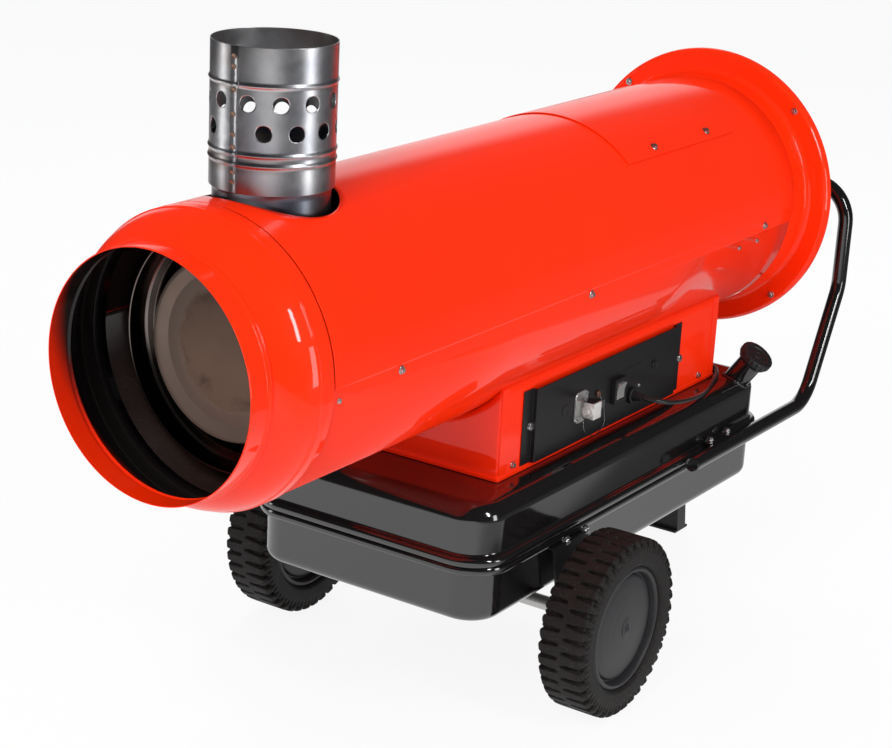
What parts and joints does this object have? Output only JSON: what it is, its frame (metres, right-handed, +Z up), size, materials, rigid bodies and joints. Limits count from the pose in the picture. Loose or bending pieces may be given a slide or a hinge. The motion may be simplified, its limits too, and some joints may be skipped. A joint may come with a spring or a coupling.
{
  "type": "indirect fired heater",
  "caption": "Wheeled oil-fired space heater with a round red casing, a perforated flue, a fuel tank base, a control panel and a lift handle.",
  "frame": {"origin": "on the floor under the middle of the heater's length and width", "axes": "+Z up, +Y from the warm-air outlet to the intake and the handle, +X towards the control panel"},
  "size_m": [0.605, 1.432, 0.922],
  "materials": {
    "red_enamel": "gloss red stove enamel",
    "black_enamel": "gloss black enamel",
    "panel_black": "fine satin black powder coat",
    "stainless_flue": "bare steel with a straw and blue heat tint",
    "heat_tinted_steel": "brown-grey heat-tinted steel",
    "zinc_plated_steel": "bright zinc plate",
    "tyre_rubber": "moulded black rubber with a block tread",
    "hub_plastic": "dark grey moulded plastic",
    "black_plastic": "black moulded plastic",
    "grey_plastic": "grey rocker",
    "cast_aluminium": "die-cast, light grey",
    "motor_grey": "grey paint",
    "cable_rubber": "smooth black rubber sheath"
  },
  "bodies": {
    "heater": {"access_cover": "red_enamel", "axle": "zinc_plated_steel", "axle_bracket_left": "black_enamel", "axle_bracket_right": "black_enamel", "axle_cap_left": "zinc_plated_steel", "axle_cap_right": "zinc_plated_steel", "blast_tube": "cast_aluminium", "blower_housing": "cast_aluminium", "burner_control_unit": "black_plastic", "burner_leg": "zinc_plated_steel", "button_bezel": "zinc_plated_steel", "cable_gland": "black_plastic", "chamber_saddle": "zinc_plated_steel", "combustion_chamber": "heat_tinted_steel", "control_box": "red_enamel", "cord_coil": "cable_rubber", "crossover_duct": "heat_tinted_steel", "drain_plug": "zinc_plated_steel", "exchanger_saddle_1": "zinc_plated_steel", "exchanger_saddle_2": "zinc_plated_steel", "filler_neck": "black_enamel", "flue_pipe": "stainless_flue", "flue_stub": "heat_tinted_steel", "fuel_filter": "cast_aluminium", "fuel_pump": "cast_aluminium", "handle_clamp_left": "black_enamel", "handle_clamp_right": "black_enamel", "handle_plug_left": "black_plastic", "handle_plug_right": "black_plastic", "handle_tube": "black_enamel", "heat_exchanger": "heat_tinted_steel", "ignition_transformer": "black_plastic", "inlet_flange": "red_enamel", "inlet_guard": "zinc_plated_steel", "lower_casing": "red_enamel", "motor_body": "motor_grey", "motor_bracket": "zinc_plated_steel", "nozzle_holder": "zinc_plated_steel", "outlet_cone": "red_enamel", "panel_plate": "panel_black", "power_cord": "cable_rubber", "power_plug": "black_plastic", "rear_foot": "black_enamel", "socket_plug": "cast_aluminium", "switch_frame": "black_plastic", "tank_lower": "black_enamel", "tank_upper": "black_enamel", "thermostat_socket": "cast_aluminium", "upper_casing": "red_enamel"},
    "wheel_right": {"tyre_right": "tyre_rubber", "wheel_rim_right": "hub_plastic"},
    "wheel_left": {"tyre_left": "tyre_rubber", "wheel_rim_left": "hub_plastic"},
    "rotor": {"motor_shaft": "zinc_plated_steel", "blower_wheel": "cast_aluminium", "fan_impeller": "cast_aluminium"},
    "rocker": {"switch_rocker": "grey_plastic"},
    "button": {"reset_button": "black_plastic"},
    "bail": {"socket_bail": "cast_aluminium"},
    "fuel_cap": {"filler_cap": "black_plastic"}
  },
  "joints": [
    {"name": "wheel_right_spin", "type": "hinge", "parent": "heater", "child": "wheel_right", "pos_m": [0.2645, -0.084, 0.125], "axis": [1, 0, 0], "continuous": true},
    {"name": "wheel_left_spin", "type": "hinge", "parent": "heater", "child": "wheel_left", "pos_m": [-0.2645, -0.084, 0.125], "axis": [1, 0, 0], "continuous": true},
    {"name": "rotor_spin", "type": "hinge", "parent": "heater", "child": "rotor", "pos_m": [0, 0.384, 0.566], "axis": [0, 1, 0], "continuous": true},
    {"name": "switch_rock", "type": "hinge", "parent": "heater", "child": "rocker", "pos_m": [0.15364, 0.106, 0.3825], "axis": [0, 1, 0], "range_deg": [-18, 0]},
    {"name": "reset_press", "type": "slide", "parent": "heater", "child": "button", "axis": [-1, 0, 0], "range_m": [0, 0.002], "stiffness_N_per_m": 300},
    {"name": "bail_swing", "type": "hinge", "parent": "heater", "child": "bail", "pos_m": [0.1561, 0.005, 0.383], "axis": [0, 0, 1], "range_deg": [0, 40]},
    {"name": "fuel_cap_turn", "type": "hinge", "parent": "heater", "child": "fuel_cap", "pos_m": [0.19668, 0.449, 0.35896], "axis": [0.5736, 0, 0.8192], "range_deg": [0, 90]}
  ]
}
